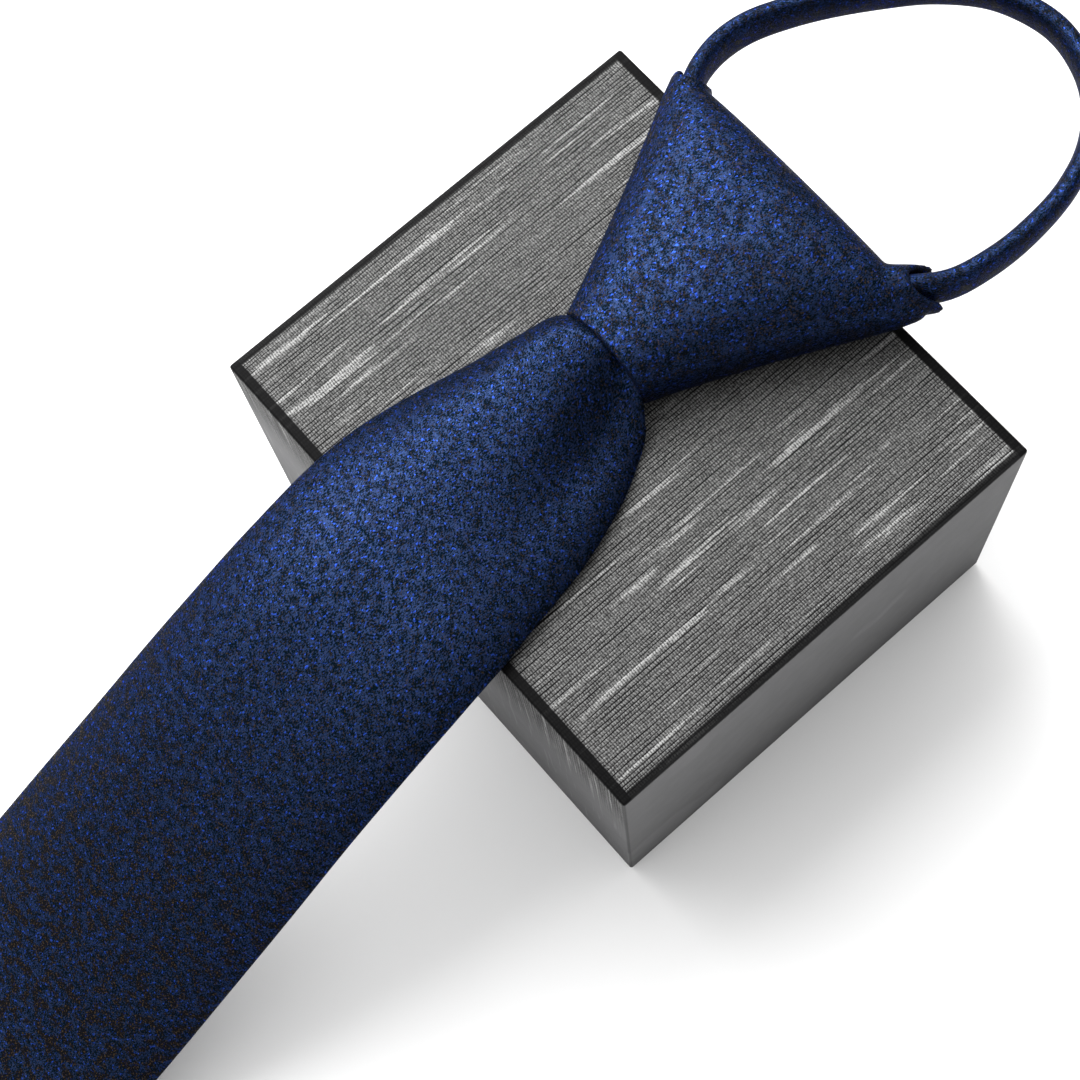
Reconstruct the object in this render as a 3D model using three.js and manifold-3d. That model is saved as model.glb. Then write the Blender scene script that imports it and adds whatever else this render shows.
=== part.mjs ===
// Skinny tie, ready tied, laid over its closed gift box.
// Millimetres, +Z up. The origin is the centre of the box's underside.
// +Y runs up the tie from the pointed tip to the neck loop, +X to the right of it.

import * as THREE from 'three';
import { mergeVertices } from 'three/addons/utils/BufferGeometryUtils.js';
import Module from 'manifold-3d';

const wasm = await Module();
wasm.setup();

// Gift box: a full-depth lid over an open tray
const boxWidth = 92;
const boxLength = 81;
const boxHeight = 59.5;
const boardThickness = 1.8;
const lidClearance = 0.5;
const lidLift = 0.8;
const trayHeight = 57.2;

// How the tie lies: flat on the box, over the box's edge, then down to the floor
const drapeRun = 112.5;
const tieAxisX = -5.9;

// Knot
const knotWall = 1.8;
const knotSegments = 40;
const knotMouthY = 1.8;

// Sections of the knot from its mouth to its folded top edge. Heights are above the box top.
const knotSections = [
  { y: 1.8, halfWidth: 8.8, back: 0.4, side: 5.6, front: 13.2 },
  { y: 5.0, halfWidth: 10.1, back: 0.4, side: 5.8, front: 14.1 },
  { y: 10.0, halfWidth: 12.3, back: 0.4, side: 6.1, front: 15.5 },
  { y: 16.0, halfWidth: 15.1, back: 0.4, side: 6.4, front: 16.9 },
  { y: 22.0, halfWidth: 18.0, back: 0.4, side: 6.8, front: 17.8 },
  { y: 28.0, halfWidth: 21.1, back: 0.4, side: 7.1, front: 18.1 },
  { y: 33.0, halfWidth: 23.7, back: 0.6, side: 7.4, front: 17.9 },
  { y: 36.5, halfWidth: 25.6, back: 1.2, side: 7.6, front: 17.2 },
  { y: 39.4, halfWidth: 27.0, back: 2.4, side: 7.7, front: 15.6 },
  { y: 41.2, halfWidth: 27.7, back: 4.2, side: 7.7, front: 13.0 },
  { y: 42.0, halfWidth: 27.6, back: 5.8, side: 7.7, front: 10.2 },
];

// Neck strap: a soft folded band
const strapWidth = 8.2;
const strapThickness = 3.4;
const strapSegments = 14;
const strapSteps = 76;
const strapLift = 7.8;
const strapLean = new THREE.Vector3(0.12, -0.2, 1);

// Middle line of the strap seen from above, from inside the knot's left corner
// round the neck opening to inside its right corner. Rise is above the knot's side line.
const strapPath = [
  { x: -13.0, y: 25.0, rise: 0.0 },
  { x: -19.8, y: 30.8, rise: 0.0 },
  { x: -26.4, y: 36.6, rise: 0.0 },
  { x: -30.4, y: 42.2, rise: 0.0 },
  { x: -32.1, y: 48.0, rise: 0.1 },
  { x: -31.6, y: 54.5, rise: 0.3 },
  { x: -28.4, y: 62.3, rise: 0.6 },
  { x: -23.6, y: 70.2, rise: 1.0 },
  { x: -16.6, y: 79.4, rise: 1.5 },
  { x: -8.6, y: 85.8, rise: 1.8 },
  { x: 1.0, y: 88.4, rise: 1.9 },
  { x: 10.2, y: 86.2, rise: 1.7 },
  { x: 17.2, y: 80.2, rise: 1.2 },
  { x: 21.2, y: 71.6, rise: 0.7 },
  { x: 22.5, y: 62.5, rise: 0.3 },
  { x: 22.2, y: 54.6, rise: 0.1 },
  { x: 20.6, y: 47.6, rise: 0.0 },
  { x: 16.6, y: 41.6, rise: 0.0 },
  { x: 10.4, y: 35.4, rise: 0.0 },
  { x: 3.6, y: 29.2, rise: 0.0 },
];

// Sleeves at the knot's top corners, where the strap comes out
const sleeveClearance = 0.55;
const sleeveWall = 1.2;
const leftSleeveEnd = 0.151;
const rightSleeveEnd = 0.857;
const leftSleeveNotch = 1.2;
const rightSleeveNotch = 4.0;

// Front blade, from inside the knot to the pointed tip.
// Ridge is the height of its middle line above what it lies on, drop is how far the edges fall,
// lean moves the ridge to the left of the middle, as a part of the half width, a larger edge
// makes the folded edges blunter, and dimple is the depth of the hollow right of the ridge,
// which shows less on the underside.
const bladeSections = [
  { y: 16.0, centre: -5.9, width: 12.2, ridge: 7.8, drop: 0.0, lean: 0.0, thick: 5.6, edge: 2.4, dimple: 0.0 },
  { y: 4.0, centre: -5.9, width: 12.2, ridge: 7.9, drop: 0.0, lean: 0.0, thick: 5.6, edge: 2.4, dimple: 0.0 },
  { y: 1.5, centre: -5.9, width: 12.4, ridge: 8.0, drop: 0.0, lean: 0.0, thick: 5.8, edge: 2.4, dimple: 0.0 },
  { y: 0.7, centre: -5.8, width: 19.6, ridge: 8.9, drop: 2.8, lean: 0.2, thick: 6.0, edge: 3.0, dimple: 0.5 },
  { y: -0.8, centre: -5.5, width: 23.6, ridge: 9.9, drop: 6.4, lean: 0.42, thick: 5.4, edge: 3.6, dimple: 1.4 },
  { y: -4.5, centre: -4.9, width: 27.2, ridge: 10.1, drop: 8.2, lean: 0.5, thick: 4.6, edge: 5.0, dimple: 3.4 },
  { y: -9.0, centre: -4.2, width: 30.8, ridge: 9.7, drop: 8.2, lean: 0.48, thick: 4.1, edge: 6.0, dimple: 3.3 },
  { y: -13.5, centre: -3.7, width: 33.6, ridge: 9.0, drop: 7.5, lean: 0.44, thick: 3.8, edge: 6.0, dimple: 2.3 },
  { y: -22.5, centre: -3.3, width: 38.3, ridge: 7.9, drop: 6.3, lean: 0.38, thick: 3.7, edge: 6.0, dimple: 1.0 },
  { y: -31.5, centre: -3.2, width: 41.4, ridge: 7.0, drop: 5.3, lean: 0.3, thick: 3.6, edge: 6.0, dimple: 0.3 },
  { y: -40.5, centre: -2.4, width: 43.3, ridge: 6.4, drop: 4.6, lean: 0.28, thick: 3.6, edge: 6.0, dimple: 0.0 },
  { y: -54.0, centre: -1.3, width: 44.2, ridge: 6.2, drop: 4.3, lean: 0.28, thick: 3.6, edge: 6.0, dimple: 0.0 },
  { y: -67.5, centre: -0.9, width: 45.0, ridge: 6.1, drop: 4.0, lean: 0.28, thick: 3.6, edge: 6.0, dimple: 0.0 },
  { y: -81.0, centre: -1.0, width: 46.2, ridge: 6.0, drop: 3.8, lean: 0.28, thick: 3.6, edge: 6.0, dimple: 0.0 },
  { y: -108.0, centre: -2.0, width: 48.8, ridge: 5.8, drop: 3.4, lean: 0.26, thick: 3.6, edge: 6.0, dimple: 0.0 },
  { y: -150.0, centre: -3.0, width: 52.0, ridge: 5.6, drop: 3.0, lean: 0.2, thick: 3.6, edge: 6.0, dimple: 0.0 },
  { y: -185.0, centre: -3.4, width: 54.0, ridge: 4.7, drop: 2.2, lean: 0.1, thick: 3.6, edge: 6.0, dimple: 0.0 },
  { y: -215.0, centre: -3.6, width: 55.4, ridge: 2.9, drop: 0.9, lean: 0.0, thick: 3.6, edge: 6.0, dimple: 0.0 },
  { y: -300.0, centre: -3.8, width: 58.2, ridge: 2.6, drop: 0.6, lean: 0.0, thick: 3.6, edge: 6.0, dimple: 0.0 },
  { y: -362.0, centre: -3.8, width: 60.0, ridge: 2.5, drop: 0.5, lean: 0.0, thick: 3.6, edge: 6.0, dimple: 0.0 },
];
const bladeTipLength = 30;
const bladeTipWidth = 1.2;
const bladeSegments = 16;
const dimplePlace = 0.5;
const dimpleReach = 0.3;
const dimpleBelow = 0.4;

// Zip tail: the fastened end of the strap, hidden behind the blade
const tailWidth = 11;
const tailThickness = 2.2;
const tailSegments = 6;
const tailSections = [
  { y: 21.0, centre: -5.9, ridge: 3.6 },
  { y: 1.6, centre: -5.9, ridge: 3.6 },
  { y: -2.0, centre: -5.6, ridge: 2.5 },
  { y: -5.0, centre: -5.3, ridge: 1.6 },
  { y: -9.0, centre: -5.0, ridge: 1.5 },
  { y: -40.5, centre: -3.4, ridge: 1.5 },
  { y: -81.0, centre: -2.4, ridge: 1.5 },
  { y: -150.0, centre: -3.4, ridge: 1.5 },
  { y: -182.0, centre: -3.6, ridge: 1.4 },
];

// Materials
const clothMaterial = () => new THREE.MeshStandardMaterial({ color: 0x1b2a63, roughness: 0.5, metalness: 0 });
const tapeMaterial = () => new THREE.MeshStandardMaterial({ color: 0x10162f, roughness: 0.7, metalness: 0 });
const paperMaterial = () => new THREE.MeshStandardMaterial({ color: 0x4a4a4b, roughness: 0.6, metalness: 0 });
const boardMaterial = () => new THREE.MeshStandardMaterial({ color: 0x2b2b2c, roughness: 0.8, metalness: 0 });

const group = new THREE.Group();

// Adds one named piece
function addPiece(name, geometry, material) {
  const mesh = new THREE.Mesh(geometry, material);
  mesh.name = name;
  group.add(mesh);
}

// Smooth value of one column of a table at a place along its key column
function readTable(table, key, column, at) {
  const rising = table[table.length - 1][key] > table[0][key];
  const rows = rising ? table : [...table].reverse();
  const last = rows.length - 1;
  if (at <= rows[0][key]) return rows[0][column];
  if (at >= rows[last][key]) return rows[last][column];
  let i = 0;
  while (rows[i + 1][key] < at) i += 1;
  const slope = (a) => (rows[a + 1][column] - rows[a][column]) / (rows[a + 1][key] - rows[a][key]);
  const tangent = (a) => {
    if (a === 0) return slope(0);
    if (a === last) return slope(last - 1);
    const before = slope(a - 1);
    const after = slope(a);
    if (before * after <= 0) return 0;
    return 2 * before * after / (before + after);
  };
  const span = rows[i + 1][key] - rows[i][key];
  const t = (at - rows[i][key]) / span;
  const a = rows[i][column];
  const b = rows[i + 1][column];
  const blend = t * t * (3 - 2 * t);
  return a + (b - a) * blend
    + span * tangent(i) * t * (1 - t) * (1 - t)
    - span * tangent(i + 1) * t * t * (1 - t);
}

// Closed skin over a row of rings with the same number of points, with a fan at each end
function skinRings(rings) {
  const count = rings[0].length;
  const positions = [];
  const triangles = [];
  for (const ring of rings) {
    for (const p of ring) positions.push(p.x, p.y, p.z);
  }
  for (let r = 0; r < rings.length - 1; r += 1) {
    for (let i = 0; i < count; i += 1) {
      const j = (i + 1) % count;
      const a = r * count + i;
      const b = r * count + j;
      triangles.push(a, b, b + count, a, b + count, a + count);
    }
  }
  for (const [r, flip] of [[0, true], [rings.length - 1, false]]) {
    const middle = positions.length / 3;
    const centre = new THREE.Vector3();
    for (const p of rings[r]) centre.add(p);
    centre.divideScalar(count);
    positions.push(centre.x, centre.y, centre.z);
    for (let i = 0; i < count; i += 1) {
      const a = r * count + i;
      const b = r * count + (i + 1) % count;
      if (flip) triangles.push(middle, b, a);
      else triangles.push(middle, a, b);
    }
  }
  return { positions: new Float32Array(positions), triangles: new Uint32Array(triangles) };
}

// Solid from a skin, turned right side out
function solidFromSkin(skin) {
  const make = (triangles) => new wasm.Manifold(new wasm.Mesh({
    numProp: 3,
    vertProperties: skin.positions,
    triVerts: triangles,
  }));
  const solid = make(skin.triangles);
  if (solid.volume() > 0) return solid;
  const turned = new Uint32Array(skin.triangles.length);
  for (let i = 0; i < turned.length; i += 3) {
    turned[i] = skin.triangles[i];
    turned[i + 1] = skin.triangles[i + 2];
    turned[i + 2] = skin.triangles[i + 1];
  }
  return make(turned);
}

// Drawable geometry from a solid
function geometryFromSolid(solid) {
  const mesh = solid.getMesh();
  const positions = new Float32Array(mesh.numVert * 3);
  for (let v = 0; v < mesh.numVert; v += 1) {
    for (let k = 0; k < 3; k += 1) positions[v * 3 + k] = mesh.vertProperties[v * mesh.numProp + k];
  }
  const geometry = new THREE.BufferGeometry();
  geometry.setAttribute('position', new THREE.BufferAttribute(positions, 3));
  geometry.setIndex(new THREE.BufferAttribute(new Uint32Array(mesh.triVerts), 1));
  geometry.computeVertexNormals();
  return geometry;
}

// Plain block between two corners
function block(low, high) {
  const size = high.map((value, k) => value - low[k]);
  const box = new THREE.BoxGeometry(...size);
  box.translate(low[0] + size[0] / 2, low[1] + size[1] / 2, low[2] + size[2] / 2);
  box.deleteAttribute('normal');
  box.deleteAttribute('uv');
  const merged = mergeVertices(box);
  return solidFromSkin({
    positions: new Float32Array(merged.attributes.position.array),
    triangles: new Uint32Array(merged.index.array),
  });
}

// Gift box lid: a full-depth cover, open below
const lidOuter = block([-boxWidth / 2, -boxLength / 2, lidLift], [boxWidth / 2, boxLength / 2, boxHeight]);
const lidHollow = block(
  [-boxWidth / 2 + boardThickness, -boxLength / 2 + boardThickness, -5],
  [boxWidth / 2 - boardThickness, boxLength / 2 - boardThickness, boxHeight - boardThickness],
);
addPiece('gift_box_lid', geometryFromSolid(lidOuter.subtract(lidHollow)), paperMaterial());

// Gift box tray: stands inside the lid, open above
const trayX = boxWidth / 2 - boardThickness - lidClearance;
const trayY = boxLength / 2 - boardThickness - lidClearance;
const trayOuter = block([-trayX, -trayY, 0], [trayX, trayY, trayHeight]);
const trayHollow = block(
  [-trayX + boardThickness, -trayY + boardThickness, boardThickness],
  [trayX - boardThickness, trayY - boardThickness, trayHeight + 5],
);
addPiece('gift_box_tray', geometryFromSolid(trayOuter.subtract(trayHollow)), boardMaterial());

// Height of the surface that the tie lies on: the box top, the fall past its edge, the floor
function supportHeight(y) {
  const t = THREE.MathUtils.clamp((-boxLength / 2 - y) / drapeRun, 0, 1);
  return boxHeight * (1 - t * t * (3 - 2 * t));
}

// Knot: one wrapped cloth shell, hollow, open at its mouth and at its two sleeves
function knotRing(y, inset) {
  const read = (column) => readTable(knotSections, 'y', column, y);
  const halfWidth = read('halfWidth') - inset;
  const side = boxHeight + read('side');
  const front = boxHeight + read('front') - inset;
  const back = boxHeight + read('back') + inset;
  const ring = [];
  for (let i = 0; i < knotSegments; i += 1) {
    const angle = 2 * Math.PI * i / knotSegments;
    const across = Math.cos(angle);
    const up = Math.sin(angle);
    const x = tieAxisX + halfWidth * Math.sign(across) * Math.abs(across) ** 0.84;
    const z = up >= 0
      ? side + (front - side) * up ** 0.88
      : side - (side - back) * Math.abs(up) ** 0.5;
    ring.push({ x, z });
  }
  return ring;
}

function knotBody(inset, stations) {
  const rings = stations.map(({ y, readAt }) => knotRing(readAt, inset)
    .map((p) => new THREE.Vector3(p.x, y, p.z)));
  return solidFromSkin(skinRings(rings));
}

const knotTopY = knotSections[knotSections.length - 1].y;
const outerStations = [];
for (const y of [1.8, 3.4, 5.5, 8, 11, 14, 17, 20, 23, 26, 29, 31.5, 34, 36, 37.8, 39.2, 40.4, 41.3, knotTopY]) {
  outerStations.push({ y, readAt: y });
}
const innerStations = [{ y: knotMouthY - 3, readAt: knotMouthY }];
for (const y of [1.8, 5, 10, 14, 18, 22, 26, 30, 33, 35.2, 37, 38.7]) {
  innerStations.push({ y, readAt: y });
}

// Middle line of the strap as a smooth curve
const strapCurve = new THREE.CatmullRomCurve3(
  strapPath.map((p) => new THREE.Vector3(p.x, p.y, boxHeight + strapLift + p.rise)),
  false,
  'centripetal',
);

// Oval band round the strap curve between two places along it. A notch opens the middle of its
// upper side: above zero at its far end, below zero at its near end.
function bandOnStrap(from, to, steps, width, thickness, power, notch = 0) {
  const rings = [];
  for (let s = 0; s <= steps; s += 1) {
    const t = from + (to - from) * s / steps;
    const point = strapCurve.getPointAt(THREE.MathUtils.clamp(t, 0, 1));
    const along = strapCurve.getTangentAt(THREE.MathUtils.clamp(t, 0, 1));
    const open = Math.sin(Math.PI * THREE.MathUtils.clamp((t - 0.2) / 0.6, 0, 1));
    const up = new THREE.Vector3(strapLean.x * open, strapLean.y * open, strapLean.z);
    up.addScaledVector(along, -up.dot(along)).normalize();
    const side = new THREE.Vector3().crossVectors(along, up).normalize();
    const ring = [];
    for (let i = 0; i < strapSegments; i += 1) {
      const angle = 2 * Math.PI * i / strapSegments;
      const c = Math.cos(angle);
      const n = Math.sin(angle);
      const a = Math.sign(c) * Math.abs(c) ** power * thickness / 2;
      const b = Math.sign(n) * Math.abs(n) ** power * width / 2;
      const end = notch > 0 ? s / steps : 1 - s / steps;
      const back = -notch * end * end * Math.max(0, n);
      ring.push(point.clone().addScaledVector(side, a).addScaledVector(up, b).addScaledVector(along, back));
    }
    rings.push(ring);
  }
  return solidFromSkin(skinRings(rings));
}

const boreWidth = strapWidth + 2 * sleeveClearance;
const boreThickness = strapThickness + 2 * sleeveClearance;
const sleeveWidth = boreWidth + 2 * sleeveWall;
const sleeveThickness = boreThickness + 2 * sleeveWall;
const strapPower = 0.8;

const knotOuter = knotBody(0, outerStations)
  .add(bandOnStrap(0.09, leftSleeveEnd, 10, sleeveWidth, sleeveThickness, 0.9, leftSleeveNotch))
  .add(bandOnStrap(rightSleeveEnd, 0.94, 10, sleeveWidth, sleeveThickness, 0.9, -rightSleeveNotch));
const knotInner = knotBody(knotWall, innerStations)
  .add(bandOnStrap(0.03, leftSleeveEnd + 0.01, 12, boreWidth, boreThickness, strapPower))
  .add(bandOnStrap(rightSleeveEnd - 0.01, 0.97, 12, boreWidth, boreThickness, strapPower));
addPiece('knot_wrap', geometryFromSolid(knotOuter.subtract(knotInner)), clothMaterial());

// Neck strap: one band from sleeve to sleeve round the neck opening
addPiece(
  'neck_strap',
  geometryFromSolid(bandOnStrap(0, 1, strapSteps, strapWidth, strapThickness, strapPower)),
  clothMaterial(),
);

// One cross section of a flat band that follows the drape at a place along the tie
function drapedRing(y, shape, segments) {
  const rise = (supportHeight(y + 0.25) - supportHeight(y - 0.25)) / 0.5;
  const length = Math.hypot(1, rise);
  const normal = new THREE.Vector3(0, -rise / length, 1 / length);
  const middle = new THREE.Vector3(shape.centre, y, supportHeight(y)).addScaledVector(normal, shape.ridge);
  const upper = [];
  const lower = [];
  for (let i = 0; i <= segments; i += 1) {
    const u = -Math.cos(Math.PI * i / segments);
    const away = u < -shape.lean ? (u + shape.lean) / (1 - shape.lean) : (u + shape.lean) / (1 + shape.lean);
    const fall = shape.drop * away * away;
    const hollow = shape.dimple * Math.exp(-(((u - dimplePlace) / dimpleReach) ** 2));
    const half = shape.thickness / 2 * Math.sqrt(Math.max(0, 1 - Math.abs(u) ** shape.roundness));
    const at = middle.clone().add(new THREE.Vector3(u * shape.width / 2, 0, 0));
    if (i === 0 || i === segments) {
      upper.push(at.clone().addScaledVector(normal, -fall - hollow * dimpleBelow));
      continue;
    }
    upper.push(at.clone().addScaledVector(normal, half - fall - hollow));
    lower.unshift(at.clone().addScaledVector(normal, -half - fall - hollow * dimpleBelow));
  }
  return [...upper, ...lower];
}

// Front blade: one padded, folded length of cloth with a pointed tip
const bladeEndY = bladeSections[bladeSections.length - 1].y;
function bladeShape(y) {
  const read = (column) => readTable(bladeSections, 'y', column, y);
  const tip = THREE.MathUtils.clamp((bladeEndY - y) / bladeTipLength, 0, 1);
  const width = read('width') * (1 - tip) + bladeTipWidth * tip;
  const thickness = read('thick') * (1 - 0.35 * tip);
  return {
    centre: read('centre'),
    width,
    drop: read('drop') * (1 - tip),
    lean: read('lean'),
    thickness,
    roundness: read('edge'),
    dimple: read('dimple'),
    ridge: read('ridge') - 0.65 * tip,
  };
}
const bladeStations = [16, 10, 5, 3.2, 2.3, 1.5, 1.1, 0.8, 0.5, 0.1, -0.3, -0.8, -1.6, -2.8, -4.5, -6.5, -9];
for (let y = -12; y > -41; y -= 4) bladeStations.push(y);
for (let y = -44; y > -160; y -= 4) bladeStations.push(y);
for (let y = -164; y > -225; y -= 8) bladeStations.push(y);
for (let y = -240; y > bladeEndY; y -= 20) bladeStations.push(y);
for (let i = 0; i <= 6; i += 1) bladeStations.push(bladeEndY - bladeTipLength * i / 6);
const bladeRings = bladeStations.map((y) => drapedRing(y, bladeShape(y), bladeSegments));
addPiece('front_blade', geometryFromSolid(solidFromSkin(skinRings(bladeRings))), clothMaterial());

// Zip tail: one plain band behind the blade
const tailRings = [];
for (const y of [21, 12, 5, 2.4, 1.2, 0, -2, -4, -6, -9, -13, -20, -30, -38]) {
  tailRings.push(y);
}
for (let y = -44; y > -160; y -= 6) tailRings.push(y);
for (const y of [-164, -172, -182]) tailRings.push(y);
const tailSolid = solidFromSkin(skinRings(tailRings.map((y) => drapedRing(y, {
  centre: readTable(tailSections, 'y', 'centre', y),
  width: tailWidth,
  drop: 0,
  lean: 0,
  dimple: 0,
  thickness: tailThickness,
  roundness: 8,
  ridge: readTable(tailSections, 'y', 'ridge', y),
}, tailSegments))));
addPiece('zip_tail', geometryFromSolid(tailSolid), tapeMaterial());

export default group;
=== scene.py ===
import math

import bmesh
import bpy
import numpy as np
from mathutils import Matrix, Vector


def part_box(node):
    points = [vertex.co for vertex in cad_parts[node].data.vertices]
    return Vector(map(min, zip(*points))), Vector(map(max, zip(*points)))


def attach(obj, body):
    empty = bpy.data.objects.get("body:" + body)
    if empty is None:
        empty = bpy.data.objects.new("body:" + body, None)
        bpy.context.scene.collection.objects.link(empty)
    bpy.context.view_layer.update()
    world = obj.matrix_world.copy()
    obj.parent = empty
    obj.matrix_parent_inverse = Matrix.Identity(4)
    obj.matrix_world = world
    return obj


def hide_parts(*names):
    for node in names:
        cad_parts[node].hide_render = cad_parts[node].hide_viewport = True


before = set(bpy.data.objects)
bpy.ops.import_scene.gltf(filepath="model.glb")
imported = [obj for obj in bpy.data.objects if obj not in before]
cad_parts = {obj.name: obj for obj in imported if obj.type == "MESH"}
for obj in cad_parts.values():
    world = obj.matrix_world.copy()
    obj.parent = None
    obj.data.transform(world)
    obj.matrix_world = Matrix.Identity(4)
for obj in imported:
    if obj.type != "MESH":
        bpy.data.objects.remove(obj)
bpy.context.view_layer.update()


# Camera: looks down on the box from its near corner, with the tie running off to the lower left.
# The neck loop and the blade's tip leave the picture, as they do in the photograph.
camera_place = Vector((0.093325, -0.073358, 0.376186))
camera_right = Vector((0.654896, 0.753510, -0.057742))
camera_up = Vector((-0.710203, 0.639769, 0.293783))
sensor_width = 36
lens = 73.953
camera_data = bpy.data.cameras.new("camera")
camera_data.sensor_width = sensor_width
camera_data.lens = lens
camera_data.clip_start = 0.01
camera = bpy.data.objects.new("camera", camera_data)
camera_back = camera_right.cross(camera_up)
turn = Matrix((camera_right, camera_up, camera_back)).transposed()
camera.matrix_world = Matrix.Translation(camera_place) @ turn.to_4x4()
bpy.context.scene.collection.objects.link(camera)
bpy.context.scene.camera = camera


# Studio: a soft white surround that is brightest high on the left, with one large soft light
# on the same side. The satin's sheen and the floor's short shadows both come from it.
surround_dark, surround_bright = 0.12, 2.4
surround_turns, surround_full = -0.15, 0.97
light_from = Vector((-0.74, -0.02, 0.67))
key_place = Vector((-0.88, 0.0, 1.14))
key_target = Vector((0, -0.05, 0.03))
key_size = 1.25
key_power = 34
bpy.context.scene.view_settings.view_transform = "Standard"
world = bpy.data.worlds.new("studio")
world.use_nodes = True
direction = world.node_tree.nodes.new("ShaderNodeTexCoord")
facing = world.node_tree.nodes.new("ShaderNodeVectorMath")
facing.operation = "DOT_PRODUCT"
facing.inputs[1].default_value = light_from
glow = world.node_tree.nodes.new("ShaderNodeMapRange")
glow.interpolation_type = "SMOOTHSTEP"
for socket, value in (("From Min", surround_turns), ("From Max", surround_full),
                      ("To Min", surround_dark), ("To Max", surround_bright)):
    glow.inputs[socket].default_value = value
world.node_tree.links.new(direction.outputs["Generated"], facing.inputs[0])
world.node_tree.links.new(facing.outputs["Value"], glow.inputs["Value"])
world.node_tree.links.new(glow.outputs["Result"], world.node_tree.nodes["Background"].inputs["Color"])
bpy.context.scene.world = world

light_data = bpy.data.lights.new("key_light", "AREA")
light_data.size = key_size
light_data.energy = key_power
light = bpy.data.objects.new("key_light", light_data)
light.location = key_place
light.rotation_euler = (key_target - key_place).to_track_quat("-Z", "Y").to_euler()
bpy.context.scene.collection.objects.link(light)


# Gift box lid: grey board wrapped in embossed paper with a fine grain along the box.
# The folded edges are pressed hard and read as a dark line round the top.
class Wire:
    """A node socket that takes part in arithmetic."""

    def __init__(self, finish, socket):
        self.finish = finish
        self.socket = socket

    def math(self, operation, *others):
        node = self.finish.node("ShaderNodeMath", {"operation": operation}, dict(enumerate((self, *others))))
        return Wire(self.finish, node.outputs[0])

    def __add__(self, other):
        return self.math("ADD", other)

    def __sub__(self, other):
        return self.math("SUBTRACT", other)

    def __mul__(self, other):
        return self.math("MULTIPLY", other)

    def __pow__(self, other):
        return self.math("POWER", other)

    def __radd__(self, other):
        return self.math("ADD", other)

    def __rmul__(self, other):
        return self.math("MULTIPLY", other)

    def __rsub__(self, other):
        node = self.finish.node("ShaderNodeMath", {"operation": "SUBTRACT"}, {0: other, 1: self})
        return Wire(self.finish, node.outputs[0])

    def above(self, low, high):
        """0 below low, 1 above high, smooth between."""
        node = self.finish.node("ShaderNodeMapRange", {"interpolation_type": "SMOOTHSTEP"}, {
            "Value": self, "From Min": low, "From Max": high,
        })
        return Wire(self.finish, node.outputs[0])


class Finish:
    """A material under construction."""

    def __init__(self, name, **constants):
        self.material = bpy.data.materials.new(name)
        self.material.use_nodes = True
        self.tree = self.material.node_tree
        self.shader = self.tree.nodes["Principled BSDF"]
        for socket, value in constants.items():
            self.shader.inputs[socket.replace("_", " ")].default_value = value

    def node(self, kind, settings=None, inputs=None):
        node = self.tree.nodes.new(kind)
        for key, value in (settings or {}).items():
            setattr(node, key, value)
        for key, value in (inputs or {}).items():
            self.plug(node.inputs[key], value)
        return node

    def plug(self, socket, value):
        if isinstance(value, Wire):
            self.tree.links.new(value.socket, socket)
        elif value is not None:
            socket.default_value = value

    def coordinates(self, kind, scale=(1, 1, 1), turn=(0, 0, 0)):
        """The piece's own coordinates, stretched and turned."""
        source = self.node("ShaderNodeTexCoord")
        mapping = self.node("ShaderNodeMapping", {"vector_type": "POINT"}, {
            "Vector": Wire(self, source.outputs[kind]), "Scale": scale, "Rotation": turn,
        })
        return Wire(self, mapping.outputs[0])

    def noise(self, vector, scale, detail=2.0, roughness=0.5):
        node = self.node("ShaderNodeTexNoise", {"normalize": True}, {
            "Vector": vector, "Scale": scale, "Detail": detail, "Roughness": roughness,
        })
        return Wire(self, node.outputs[0])

    def blend(self, factor, first, second):
        """One colour turning into another."""
        node = self.node("ShaderNodeMix", {"data_type": "RGBA"})
        self.plug(node.inputs[0], factor)
        for socket, value in ((node.inputs[6], first), (node.inputs[7], second)):
            self.plug(socket, (*value, 1) if isinstance(value, tuple) else value)
        return Wire(self, node.outputs[2])

    def relief(self, height, depth, strength=1.0):
        """Surface relief from a height between 0 and 1, depth in metres."""
        node = self.node("ShaderNodeBump", None, {"Height": height, "Distance": depth, "Strength": strength})
        self.plug(self.shader.inputs["Normal"], Wire(self, node.outputs[0]))

    def set(self, **links):
        for socket, value in links.items():
            self.plug(self.shader.inputs[socket.replace("_", " ")], value)
        return self.material


thread_pitch = 0.00063
tick_pitch = 0.00042
emboss_depth = 0.00012
weave_dark, weave_pale = (0.0018, 0.0018, 0.002), (0.30, 0.30, 0.296)
# The darker side colour also serves as painted shade at the foot of the sides.
side_dark_and_shade, side_high = (0.076, 0.076, 0.078), (0.27, 0.27, 0.274)
corner_dark, rim_black = (0.01, 0.01, 0.01), (0.0012, 0.0012, 0.0014)


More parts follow.
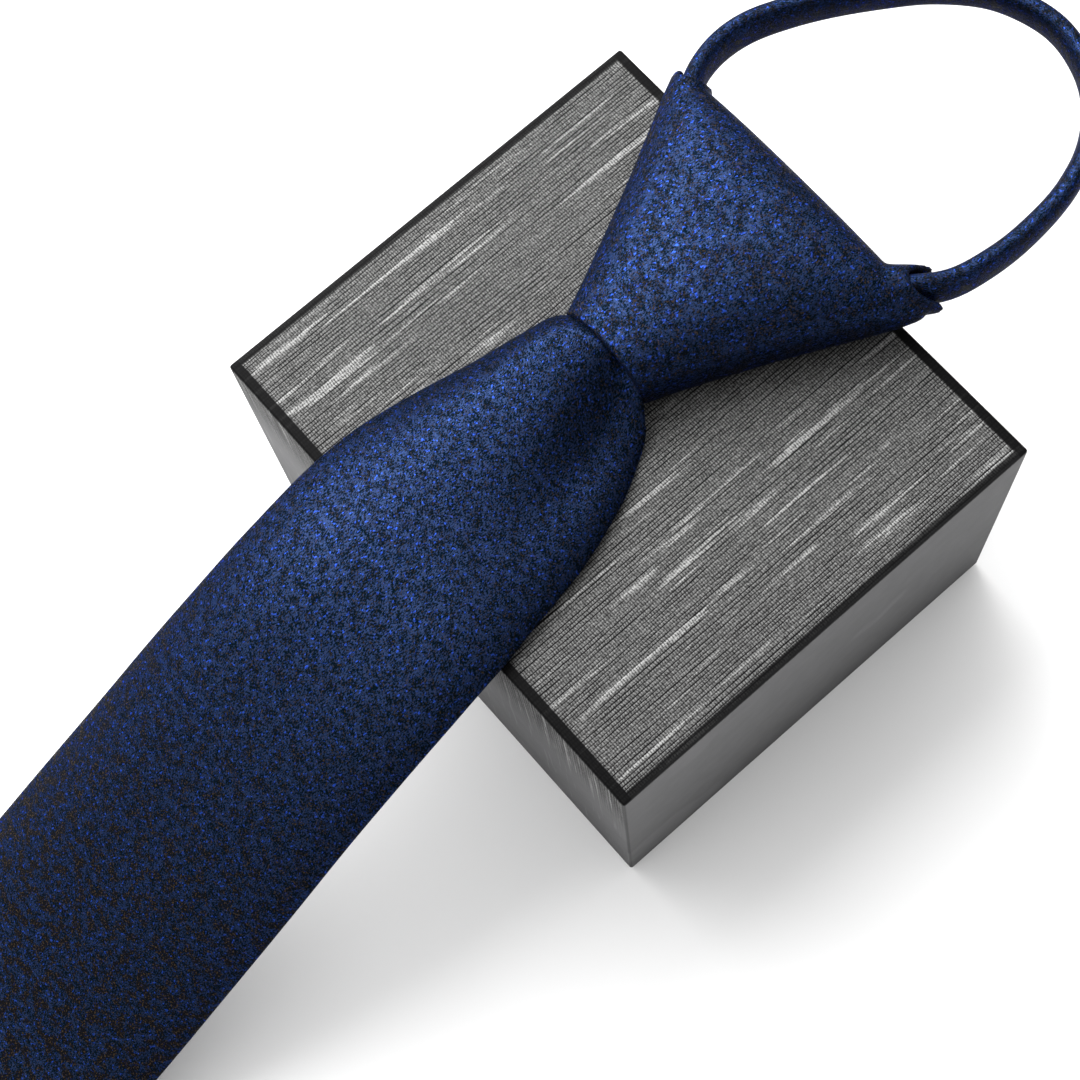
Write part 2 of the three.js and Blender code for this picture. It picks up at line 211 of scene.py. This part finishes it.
def paper_finish(name, rim_x, rim_y, rim_z, side_x, side_y):
    """Embossed paper: close threads along the box with pale slubs, plain sides darkened towards their foot by
    painted shade, a black pressed rim.
    """
    paper = Finish(name, Specular_IOR_Level=0.05)
    place = paper.coordinates("Object")
    separate = paper.node("ShaderNodeSeparateXYZ", None, {0: place})
    x, y, z = (Wire(paper, out) for out in separate.outputs)
    across, along = x.math("ABSOLUTE"), y.math("ABSOLUTE")
    drift = paper.noise(paper.coordinates("Object", (200, 14, 14)), 1.0, 2.0, 0.5)
    sway = paper.noise(paper.coordinates("Object", (900, 50, 50)), 1.0, 2.0, 0.5)
    thread = ((x + drift * 0.0012 + sway * 0.0005) * (2 * math.pi / thread_pitch)).math("SINE") * 0.5 + 0.5
    bead = paper.noise(paper.coordinates("Object", (4600, 3300, 3300)), 1.0, 1.0, 0.5).above(0.3, 0.7)
    strand = paper.noise(paper.coordinates("Object", (1700, 90, 90)), 1.0, 2.0, 0.6).above(0.36, 0.6)
    slub = paper.noise(paper.coordinates("Object", (1050, 44, 44)), 1.0, 2.0, 0.55)
    streak = slub.above(0.58, 0.68)
    tick = ((y + sway * 0.0004) * (2 * math.pi / tick_pitch)).math("SINE") * 0.5 + 0.5
    wrapped = 1 - across.above(side_x - 0.0006, side_x - 0.0001)
    fade = wrapped * z.above(rim_z - 0.03, rim_z)
    groove = 1 - (1 - thread.above(0.03, 0.3)) * (strand * 0.6 + 0.4)
    grain = bead * 0.5 + tick * 0.5 + 0.14
    tone = (groove * grain + streak * grain * 0.9) ** 1.5 * 0.55
    weave = paper.blend(tone, weave_dark, weave_pale)
    cloud = paper.noise(place, 260, 3.0, 0.5)
    # Painted shade: the plain sides blend darker towards their foot, on top of random clouding.
    plain = paper.blend(cloud * 0.2 + z * 7, side_dark_and_shade, side_high)
    corner = across.above(side_x - 0.0005, side_x - 0.0002) * along.above(side_y - 0.0005, side_y - 0.0002)
    plain = paper.blend(corner * 0.5, plain, corner_dark)
    colour = paper.blend(fade, plain, weave)
    edge = (across.above(rim_x, rim_x + 0.0004) * 0.96).math("MAXIMUM", along.above(rim_y, rim_y + 0.0003))
    rim = edge * z.above(rim_z - 0.0008, rim_z - 0.0001)
    colour = paper.blend(rim * 0.98, colour, rim_black)
    height = (thread * 0.6 + bead * 0.4) * (fade * 0.9 + 0.1) * (1 - rim)
    paper.relief(height, emboss_depth, 0.8)
    return paper.set(Base_Color=colour, Roughness=0.62 - streak * 0.12)


def add_object(name, mesh, *materials):
    """Links a finished mesh to the scene with its materials."""
    piece = bpy.data.objects.new(name, mesh)
    bpy.context.scene.collection.objects.link(piece)
    for material in materials:
        mesh.materials.append(material)
    return piece


board = 0.0018
rim_width, rim_depth = 0.0016, 0.0019
fold_radius = 0.00045
lid_low, lid_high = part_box("gift_box_lid")
lid_edge = bmesh.new()
corners = ((-1, -1), (1, -1), (1, 1), (-1, 1))
outer_x, outer_y = lid_high.x, lid_high.y
rings = []
for half_x, half_y, level in (
    (outer_x - board, outer_y - board, lid_high.z - board),
    (outer_x - board, outer_y - board, lid_low.z),
    (outer_x, outer_y, lid_low.z),
    (outer_x, outer_y, lid_high.z),
):
    rings.append([lid_edge.verts.new((x * half_x, y * half_y, level)) for x, y in corners])
for low, high in zip(rings, rings[1:]):
    for i in range(4):
        lid_edge.faces.new((low[i], low[(i + 1) % 4], high[(i + 1) % 4], high[i]))
lid_edge.faces.new(rings[0][::-1])
lid_edge.faces.new(rings[-1])
bmesh.ops.recalc_face_normals(lid_edge, faces=lid_edge.faces)
bmesh.ops.bevel(lid_edge, geom=list(lid_edge.edges), offset=fold_radius, segments=3, profile=0.5,
                affect="EDGES")
lid_mesh = bpy.data.meshes.new("gift_box_lid_paper")
lid_edge.to_mesh(lid_mesh)
lid_edge.free()
lid_mesh.shade_smooth()
lid = add_object("gift_box_lid_paper", lid_mesh, paper_finish(
    "embossed paper", outer_x - rim_width, outer_y - rim_depth, lid_high.z, outer_x, outer_y))
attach(lid, "root")
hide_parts("gift_box_lid")


# Gift box tray: the lower half, an open tray of plain dark board that stands inside the lid.
# It keeps its solid's shape and gets only the finish of uncovered board.
board_dark, board_pale = (0.012, 0.012, 0.013), (0.04, 0.04, 0.042)
board_finish = Finish("tray board", Roughness=0.85)
board_grain = board_finish.noise(board_finish.coordinates("Object"), 900, 4.0, 0.6)
board_finish.relief(board_grain, 0.00008, 0.5)
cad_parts["gift_box_tray"].data.materials.clear()
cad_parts["gift_box_tray"].data.materials.append(
    board_finish.set(Base_Color=board_finish.blend(board_grain, board_dark, board_pale)))


# Front blade: satin cloth folded round a soft interlining, closed by a seam down the back.
# It comes out of the knot in a rounded fold, lies over the box's edge and runs down to the floor.
# Rows are in millimetres, from inside the knot to where the pointed tip starts.
box_top = 0.0595
box_half_length = 0.0405
drape_run = 0.1125
blade_columns = ("y", "centre", "width", "ridge", "drop", "lean", "thickness", "edge", "dimple")
blade_rows = (
    (16.0, -5.9, 13.0, 8.0, 0.6, 0.0, 5.6, 2.4, 0.0),
    (5.0, -5.9, 14.6, 8.6, 1.0, 0.0, 5.8, 2.4, 0.6),
    (2.4, -5.9, 16.4, 9.2, 2.0, 0.1, 6.0, 2.4, 1.8),
    (0.8, -5.8, 20.4, 9.7, 4.0, 0.24, 6.0, 2.8, 2.8),
    (-0.8, -5.5, 23.8, 9.9, 6.4, 0.42, 5.4, 3.6, 3.4),
    (-4.5, -4.9, 27.2, 10.1, 8.2, 0.5, 4.6, 5.0, 3.9),
    (-9.0, -4.2, 30.8, 9.7, 8.2, 0.48, 4.1, 6.0, 3.3),
    (-13.5, -3.7, 33.6, 9.0, 7.5, 0.44, 3.8, 6.0, 2.3),
    (-22.5, -3.3, 38.3, 7.9, 6.3, 0.38, 3.7, 6.0, 1.0),
    (-31.5, -3.2, 41.4, 7.0, 5.3, 0.3, 3.6, 6.0, 0.3),
    (-40.5, -2.4, 43.3, 6.4, 4.6, 0.28, 3.6, 6.0, 0.0),
    (-54.0, -1.3, 44.2, 6.2, 4.3, 0.28, 3.6, 6.0, 0.0),
    (-67.5, -0.9, 45.0, 6.1, 4.0, 0.28, 3.6, 6.0, 0.0),
    (-81.0, -1.0, 46.2, 6.0, 3.8, 0.28, 3.6, 6.0, 0.0),
    (-108.0, -2.0, 48.8, 5.8, 3.4, 0.26, 3.6, 6.0, 0.0),
    (-150.0, -3.0, 52.0, 5.6, 3.0, 0.2, 3.6, 6.0, 0.0),
    (-185.0, -3.4, 54.0, 4.7, 2.2, 0.1, 3.6, 6.0, 0.0),
    (-215.0, -3.6, 55.4, 2.9, 0.9, 0.0, 3.6, 6.0, 0.0),
    (-300.0, -3.8, 58.2, 2.6, 0.6, 0.0, 3.6, 6.0, 0.0),
    (-362.0, -3.8, 60.0, 2.5, 0.5, 0.0, 3.6, 6.0, 0.0),
)
dimple_place = 0.5
dimple_reach = 0.3
dimple_spread = 0.25
dimple_below = 0.4
unevenness = 0.00022
seam_width = 0.0006
seam_height = 0.0005
tip_length = 0.030
tip_width = 0.0012


def read_rows(rows, columns, column, at):
    """Smooth value of one column at places along the first column, without overshoot."""
    table = np.array(sorted(rows), float)
    keys, values = table[:, 0], table[:, columns.index(column)]
    slopes = np.diff(values) / np.diff(keys)
    tangents = np.empty(len(keys))
    tangents[0], tangents[-1] = slopes[0], slopes[-1]
    product = slopes[:-1] * slopes[1:]
    total = slopes[:-1] + slopes[1:]
    tangents[1:-1] = np.where(product > 0, 2 * product / np.where(total == 0, 1, total), 0)
    at = np.clip(at, keys[0], keys[-1])
    i = np.clip(np.searchsorted(keys, at, side="right") - 1, 0, len(keys) - 2)
    span = keys[i + 1] - keys[i]
    t = (at - keys[i]) / span
    return (values[i] + (values[i + 1] - values[i]) * t * t * (3 - 2 * t)
            + span * tangents[i] * t * (1 - t) ** 2 - span * tangents[i + 1] * t * t * (1 - t))


def support_height(y):
    """Height of what the tie lies on: box top, the fall past its edge, the floor."""
    t = np.clip((-box_half_length - y) / drape_run, 0, 1)
    return box_top * (1 - t * t * (3 - 2 * t))


def skin_mesh(name, rings, uvs=None):
    """A closed skin over rows of rings of equal length, with a fan at each end."""
    rows, count = rings.shape[:2]
    points = rings.reshape(-1, 3)
    faces = []
    for r in range(rows - 1):
        for i in range(count):
            j = (i + 1) % count
            faces.append((r * count + i, r * count + j, (r + 1) * count + j, (r + 1) * count + i))
    ends = np.array([rings[0].mean(0), rings[-1].mean(0)])
    first, last = len(points), len(points) + 1
    for i in range(count):
        j = (i + 1) % count
        faces.append((first, j, i))
        faces.append((last, (rows - 1) * count + i, (rows - 1) * count + j))
    mesh = bpy.data.meshes.new(name)
    mesh.from_pydata(np.vstack([points, ends]).tolist(), [], faces)
    if uvs is not None:
        flat = np.vstack([uvs.reshape(-1, 2), uvs[0, 0], uvs[-1, 0]])
        layer = mesh.uv_layers.new(name="cloth")
        indices = np.empty(len(mesh.loops), np.int32)
        mesh.loops.foreach_get("vertex_index", indices)
        layer.data.foreach_set("uv", flat[indices].ravel())
    work = bmesh.new()
    work.from_mesh(mesh)
    bmesh.ops.recalc_face_normals(work, faces=work.faces)
    if work.calc_volume(signed=True) < 0:
        bmesh.ops.reverse_faces(work, faces=work.faces)
    work.to_mesh(mesh)
    work.free()
    mesh.shade_smooth()
    return mesh


def ripple(x, y, seed, waves, length):
    """Gentle unevenness between -1 and 1, the same each run."""
    rng = np.random.default_rng(seed)
    total = np.zeros(np.broadcast(x, y).shape)
    for _ in range(waves):
        angle, phase = rng.uniform(0, 2 * math.pi, 2)
        wave = 2 * math.pi / (length * rng.uniform(0.7, 1.6))
        total += np.sin(wave * (x * math.cos(angle) + y * math.sin(angle)) + phase)
    return total / waves


ground = (0.0009, 0.0042, 0.0072)
silk = (0.0172, 0.0320, 0.088)
bright_silk = (0.021, 0.070, 0.46)
gold_silk = (0.036, 0.024, 0.012)
brown_silk = (0.0050, 0.0042, 0.0045)
sheen = (0.10, 0.13, 0.30, 1)
weave_depth = 0.00014
# The blade darkens between these lengths along it: painted shade.
blade_painted_shade_from, blade_painted_shade_to = 0.06, 0.15


def cloth_finish(name, kind="Object", shade=1.0, spread=0.09, painted_shade_from=None, painted_shade_to=None):
    """Heathered satin: a near-black ground with blue threads, bright flecks and a few gold ones.

    Brown-black mottling shows in random patches where the blue threads are fewer. Where two lengths along the
    cloth are given, the blue threads are cut back and the mottling made stronger between them: painted shade
    that darkens the cloth towards the tip."""
    # Painted shade: every colour is scaled by one factor, which is below 1 for a darker copy of the same
    # satin.
    dark, blue, bright_blue, gold_brown, brown = (
        tuple(c * shade for c in colour) for colour in (ground, silk, bright_silk, gold_silk, brown_silk))
    cloth = Finish(name, Specular_IOR_Level=0.04, Specular_Tint=sheen)
    thread = cloth.noise(cloth.coordinates(kind, (1, 0.66, 1), (0, 0, math.radians(24))), 4300, 2.0, 0.6)
    patch = cloth.noise(cloth.coordinates(kind), 780, 2.0, 0.5)
    mottle = cloth.noise(cloth.coordinates(kind), 500, 3.0, 0.6).above(0.47, 0.59)
    painted_shade_tone = 0
    if painted_shade_from is not None:
        # Painted shade: between the two lengths along the cloth, the blue threads are cut back and the
        # mottling made stronger.
        separate = cloth.node("ShaderNodeSeparateXYZ", None, {0: cloth.coordinates(kind)})
        down = (0 - Wire(cloth, separate.outputs[1])).above(painted_shade_from, painted_shade_to)
        mottle = mottle * (down * 1.8 + 0.6)
        painted_shade_tone = down * 0.014
    tone = (thread + patch * 0.44 - 0.22 - mottle * 0.03 - painted_shade_tone).above(0.51 - spread, 0.51 + spread)
    colour = cloth.blend(tone, dark, blue)
    spark = cloth.noise(cloth.coordinates(kind, (1, 0.75, 1), (0, 0, math.radians(-31))), 2150, 1.0, 0.5)
    bright = spark.above(0.63, 0.70) * (tone * 0.7 + 0.3)
    colour = cloth.blend(bright, colour, bright_blue)
    fleck = cloth.noise(cloth.coordinates(kind, (1, 1, 1), (0, 0, 1.1)), 3300, 1.0, 0.5)
    gold = fleck.above(0.565, 0.66) * (mottle * 0.5 + 0.5)
    colour = cloth.blend(mottle * 0.35, colour, brown)
    colour = cloth.blend(gold * 0.7, colour, gold_brown)
    cloth.relief(thread * 0.7 + spark * 0.3, weave_depth, 0.6)
    return cloth.set(Base_Color=colour, Roughness=0.47 - bright * 0.06,
                     Metallic=tone * 0.42 + 0.5 - gold * 0.7 - mottle * 0.1)


blade_end = blade_rows[-1][0] / 1000
across_steps = 56
stations = np.concatenate([
    np.linspace(0.016, 0.0022, 16, endpoint=False),
    np.linspace(0.0022, -0.0030, 34, endpoint=False),
    np.linspace(-0.0030, -0.0450, 84, endpoint=False),
    np.linspace(-0.0450, -0.1600, 190, endpoint=False),
    np.linspace(-0.1600, blade_end, 230, endpoint=False),
    np.linspace(blade_end, blade_end - tip_length, 60),
])


def blade_rings():
    """Rings round the blade and their cloth coordinates."""
    y = stations[:, None]
    read = {c: read_rows(blade_rows, blade_columns, c, y * 1000) for c in blade_columns[1:]}
    tip = np.clip((blade_end - y) / tip_length, 0, 1)
    width = read["width"] / 1000 * (1 - tip) + tip_width * tip
    thickness = read["thickness"] / 1000 * (1 - 0.35 * tip)
    drop = read["drop"] / 1000 * (1 - tip)
    ridge = read["ridge"] / 1000 - 0.00065 * tip
    centre = read["centre"] / 1000
    slope = (support_height(y + 0.00025) - support_height(y - 0.00025)) / 0.0005
    length = np.hypot(1, slope)
    normal_y, normal_z = -slope / length, 1 / length
    along = np.concatenate([[0], np.cumsum(np.hypot(
        np.diff(stations), np.diff(support_height(stations))))])[:, None]
    u = -np.cos(np.pi * np.arange(across_steps + 1) / across_steps)[None, :]
    lean = read["lean"]
    away = np.where(u < -lean, (u + lean) / (1 - lean), (u + lean) / (1 + lean))
    half = thickness / 2 * np.sqrt(np.clip(1 - np.abs(u) ** read["edge"], 0, 1))
    fall = drop * away * away
    reach = dimple_reach + np.where(u > dimple_place, dimple_spread, 0) * np.clip((y + 0.013) / 0.009, 0, 1)
    hollow = read["dimple"] / 1000 * np.exp(-((u - dimple_place) / reach) ** 2)
    soft = ripple(u * width, -along, 3, 9, 0.035) * unevenness * np.clip((0.002 - y) / 0.01, 0, 1)
    seam = np.exp(-(u * width / 2 / seam_width) ** 2) * seam_height * np.clip(-y / 0.05, 0, 1) * (1 - tip)
    x = centre + u * width / 2
    upper_lift = half - fall - hollow + soft * (1 - np.abs(u) ** 4)
    lower_lift = -half - fall - hollow * dimple_below + seam

    def place(lift, columns):
        lift = lift[:, columns]
        return np.stack([x[:, columns], y + normal_y * (ridge + lift),
                         support_height(y) + normal_z * (ridge + lift)], -1)

    every = np.arange(across_steps + 1)
    inner = every[1:-1][::-1]
    rings = np.concatenate([place(upper_lift, every), place(lower_lift, inner)], 1)
    upper_uv = np.stack(np.broadcast_arrays(u * width / 2, -along), -1)
    lower_uv = np.stack(np.broadcast_arrays(width - u * width / 2, -along), -1)
    return rings, np.concatenate([upper_uv[:, every], lower_uv[:, inner]], 1)


rings, cloth_uv = blade_rings()
# The blade's satin is the knot's, scaled to 0.86 as painted shade, and it also darkens towards the tip as
# painted shade.
blade = add_object("front_blade_cloth", skin_mesh("front_blade_cloth", rings, cloth_uv),
                   cloth_finish("navy satin blade", "UV", 0.86, 0.08, blade_painted_shade_from, blade_painted_shade_to))
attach(blade, "root")
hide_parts("front_blade")


# Neck strap: the same satin folded into a soft narrow band, one closed loop from corner to corner.
strap_width = 0.0082
strap_thickness = 0.0034
strap_lift = 0.0078
strap_lean = Vector((0.12, -0.2, 1.0))
strap_rows = (
    (-13.0, 25.0, 0.0), (-19.8, 30.8, 0.0), (-26.4, 36.6, 0.0), (-30.4, 42.2, 0.0), (-32.1, 48.0, 0.1),
    (-31.6, 54.5, 0.3), (-28.4, 62.3, 0.6), (-23.6, 70.2, 1.0), (-16.6, 79.4, 1.5), (-8.6, 85.8, 1.8),
    (1.0, 88.4, 1.9), (10.2, 86.2, 1.7), (17.2, 80.2, 1.2), (21.2, 71.6, 0.7), (22.5, 62.5, 0.3),
    (22.2, 54.6, 0.1), (20.6, 47.6, 0.0), (16.6, 41.6, 0.0), (10.4, 35.4, 0.0), (3.6, 29.2, 0.0),
)


def smooth_path(points, per_span=24):
    """A centripetal curve through the points, resampled to even steps."""
    p = np.array(points, float)
    p = np.vstack([2 * p[0] - p[1], p, 2 * p[-1] - p[-2]])
    out = []
    for i in range(1, len(p) - 2):
        a, b, c, d = p[i - 1:i + 3]
        t0 = 0.0
        t1 = t0 + np.linalg.norm(b - a) ** 0.5
        t2 = t1 + np.linalg.norm(c - b) ** 0.5
        t3 = t2 + np.linalg.norm(d - c) ** 0.5
        for t in np.linspace(t1, t2, per_span, endpoint=False):
            ab = (t1 - t) / (t1 - t0) * a + (t - t0) / (t1 - t0) * b
            bc = (t2 - t) / (t2 - t1) * b + (t - t1) / (t2 - t1) * c
            cd = (t3 - t) / (t3 - t2) * c + (t - t2) / (t3 - t2) * d
            abc = (t2 - t) / (t2 - t0) * ab + (t - t0) / (t2 - t0) * bc
            bcd = (t3 - t) / (t3 - t1) * bc + (t - t1) / (t3 - t1) * cd
            out.append((t2 - t) / (t2 - t1) * abc + (t - t1) / (t2 - t1) * bcd)
    out.append(p[-2])
    out = np.array(out)
    reach = np.concatenate([[0], np.cumsum(np.linalg.norm(np.diff(out, axis=0), axis=1))])
    even = np.linspace(0, reach[-1], len(out))
    return np.stack([np.interp(even, reach, out[:, k]) for k in range(3)], -1), reach[-1]


strap_line, strap_length = smooth_path([
    (x / 1000, y / 1000, box_top + strap_lift + rise / 1000) for x, y, rise in strap_rows])


def band_rings(start, stop, steps, width, thickness, power, sides, soft=0.0, mouth=1, notch=0.0, taper=0.0):
    """Rings of an oval band round the strap's line between two parts of its length.

    The band narrows by the taper towards its mouth, at the far end (1) or the near one (-1),
    and a notch opens the middle of its upper side there."""
    rings, uvs = [], []
    for t in np.linspace(start, stop, steps):
        at = np.clip(t, 0, 1) * (len(strap_line) - 1)
        point = Vector([np.interp(at, range(len(strap_line)), strap_line[:, k]) for k in range(3)])
        i = int(np.clip(round(at), 1, len(strap_line) - 2))
        heading = Vector(strap_line[i + 1] - strap_line[i - 1]).normalized()
        opening = math.sin(math.pi * min(max((t - 0.2) / 0.6, 0), 1))
        up = Vector((strap_lean.x * opening, strap_lean.y * opening, strap_lean.z))
        up = (up - heading * up.dot(heading)).normalized()
        side = heading.cross(up).normalized()
        ring, uv = [], []
        for k in range(sides):
            angle = 2 * math.pi * k / sides
            c, s = math.cos(angle), math.sin(angle)
            swell = 1 + soft * float(ripple(np.array(t * strap_length), np.array(angle * 0.004), 8, 7, 0.012))
            a = math.copysign(abs(c) ** power, c) * thickness / 2 * swell
            part = (t - start) / (stop - start)
            end = part if mouth > 0 else 1 - part
            b = math.copysign(abs(s) ** power, s) * width / 2 * (1 - taper * end ** 2)
            ring.append(point + side * a + up * b - heading * mouth * notch * end ** 2 * max(0, s))
            uv.append((angle / (2 * math.pi) * 2 * (width + thickness) * 0.85, t * strap_length))
        rings.append(ring)
        uvs.append(uv)
    return np.array(rings), np.array(uvs)


rings, cloth_uv = band_rings(0, 1, 420, strap_width, strap_thickness, 0.8, 36, 0.05)
strap = add_object("neck_strap_cloth", skin_mesh("neck_strap_cloth", rings, cloth_uv),
                   cloth_finish("navy satin strap", "UV"))
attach(strap, "root")
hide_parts("neck_strap")


# Knot: the satin wrapped once round itself into a smooth hollow wedge.
# It is open at the mouth below and at both top corners, where the strap goes in.
knot_axis_x = -0.0059
knot_wall = 0.0018
knot_columns = ("y", "half_width", "back", "side", "front")
knot_rows = (
    (1.8, 8.8, 0.4, 5.6, 13.2), (5.0, 10.1, 0.4, 5.8, 14.1), (10.0, 12.3, 0.4, 6.1, 15.5),
    (16.0, 15.1, 0.4, 6.4, 16.9), (22.0, 18.0, 0.4, 6.8, 17.8), (28.0, 21.1, 0.4, 7.1, 18.1),
    (33.0, 23.7, 0.6, 7.4, 17.9), (36.5, 25.6, 1.2, 7.6, 17.2), (39.4, 27.0, 2.4, 7.7, 15.6),
    (41.2, 27.7, 4.2, 7.7, 13.0), (42.0, 27.6, 5.8, 7.7, 10.2),
)
knot_sides = 96
sleeve_sides = 48
remesh_size = 0.00036
sleeve_gap = 0.00055
sleeve_wall = 0.0012
left_sleeve_end = 0.146
right_sleeve_end = 0.858
left_sleeve_notch = 0.0012
right_sleeve_notch = 0.005
sleeve_taper = 0.12
bore_taper = 0.1


def knot_rings(inset, places, read_at=None):
    """Oval rings of the knot at places along it, drawn in by the inset.

    The sizes are those of the place itself, or of read_at where that is given."""
    read_at = places if read_at is None else read_at
    angle = 2 * np.pi * np.arange(knot_sides) / knot_sides
    across, up = np.cos(angle), np.sin(angle)
    rows = []
    for y, source in zip(places, read_at):
        half, back, side, front = (
            float(read_rows(knot_rows, knot_columns, c, np.array(source * 1000))) / 1000
            for c in knot_columns[1:])
        x = knot_axis_x + (half - inset) * np.sign(across) * np.abs(across) ** 0.84
        high, low = box_top + front - inset, box_top + back + inset
        middle = box_top + side
        z = np.where(up >= 0, middle + (high - middle) * np.abs(up) ** 0.88,
                     middle - (middle - low) * np.abs(up) ** 0.5)
        rows.append(np.stack([x, np.full(knot_sides, y), z], -1))
    return np.array(rows)


outer_places = np.concatenate([np.linspace(0.0018, 0.035, 50), np.linspace(0.0356, 0.0420, 16)])
inner_places = np.concatenate([[-0.0012], np.linspace(0.0018, 0.0387, 40)])
inner_read = np.concatenate([[0.0018], inner_places[1:]])
bore = (strap_width + 2 * sleeve_gap, strap_thickness + 2 * sleeve_gap)
sleeve = (bore[0] + 2 * sleeve_wall, bore[1] + 2 * sleeve_wall)
shells = {
    "knot_outer": knot_rings(0, outer_places),
    "left_sleeve": band_rings(0.09, left_sleeve_end, 24, *sleeve, 0.9, sleeve_sides,
                              mouth=1, notch=left_sleeve_notch, taper=sleeve_taper)[0],
    "right_sleeve": band_rings(right_sleeve_end, 0.94, 24, *sleeve, 0.9, sleeve_sides,
                               mouth=-1, notch=right_sleeve_notch, taper=sleeve_taper)[0],
    "knot_hollow": knot_rings(knot_wall, inner_places, inner_read),
    "left_bore": band_rings(0.03, left_sleeve_end + 0.006, 24, *bore, 0.8, sleeve_sides,
                            mouth=1, taper=bore_taper)[0],
    "right_bore": band_rings(right_sleeve_end - 0.006, 0.97, 24, *bore, 0.8, sleeve_sides,
                             mouth=-1, taper=bore_taper)[0],
}
solids = {name: add_object(name, skin_mesh(name, shell)) for name, shell in shells.items()}
knot_base = solids["knot_outer"]
for name, operation in (("left_sleeve", "UNION"), ("right_sleeve", "UNION"), ("knot_hollow", "DIFFERENCE"),
                        ("left_bore", "DIFFERENCE"), ("right_bore", "DIFFERENCE")):
    cut = knot_base.modifiers.new(name, "BOOLEAN")
    cut.operation = operation
    cut.solver = "EXACT"
    cut.object = solids[name]
remesh = knot_base.modifiers.new("fine", "REMESH")
remesh.mode = "VOXEL"
remesh.voxel_size = remesh_size
relax = knot_base.modifiers.new("relax", "SMOOTH")
relax.factor = 0.5
relax.iterations = 9
depsgraph = bpy.context.evaluated_depsgraph_get()
knot_mesh = bpy.data.meshes.new_from_object(knot_base.evaluated_get(depsgraph))
for solid in solids.values():
    bpy.data.objects.remove(solid)
knot_mesh.name = "knot_wrap_cloth"
knot_mesh.materials.clear()
knot_mesh.shade_smooth()
knot = add_object("knot_wrap_cloth", knot_mesh, cloth_finish("navy satin knot", spread=0.12))
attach(knot, "root")
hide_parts("knot_wrap")


# Zip tail: the fastened end of the strap, a plain woven tape hidden behind the blade.
# It keeps its solid's shape and gets only the fine cross ribs of the tape.
tape_dark, tape_pale = (0.004, 0.006, 0.014), (0.016, 0.022, 0.055)
tape = Finish("zip tape", Roughness=0.75)
tape_rib = tape.noise(tape.coordinates("Object", (400, 2600, 400)), 1.0, 1.0)
tape.relief(tape_rib, 0.0001, 0.6)
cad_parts["zip_tail"].data.materials.clear()
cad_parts["zip_tail"].data.materials.append(
    tape.set(Base_Color=tape.blend(tape_rib, tape_dark, tape_pale)))


# Floor: one sheet of matt white card under everything, left out of the object's body.
# It glows faintly, as white card does in a photograph that is exposed for the dark cloth.
floor_reach = 40
card_white = (0.66, 0.66, 0.66, 1)
card_glow = (1, 1, 1, 1)
card = Finish("floor card", Roughness=0.9, Base_Color=card_white,
              Emission_Color=card_glow, Emission_Strength=0.12)
floor_mesh = bpy.data.meshes.new("floor")
floor_mesh.from_pydata([(x * floor_reach, y * floor_reach, 0) for x, y in corners], [], [(0, 1, 2, 3)])
floor = add_object("floor", floor_mesh, card.material)
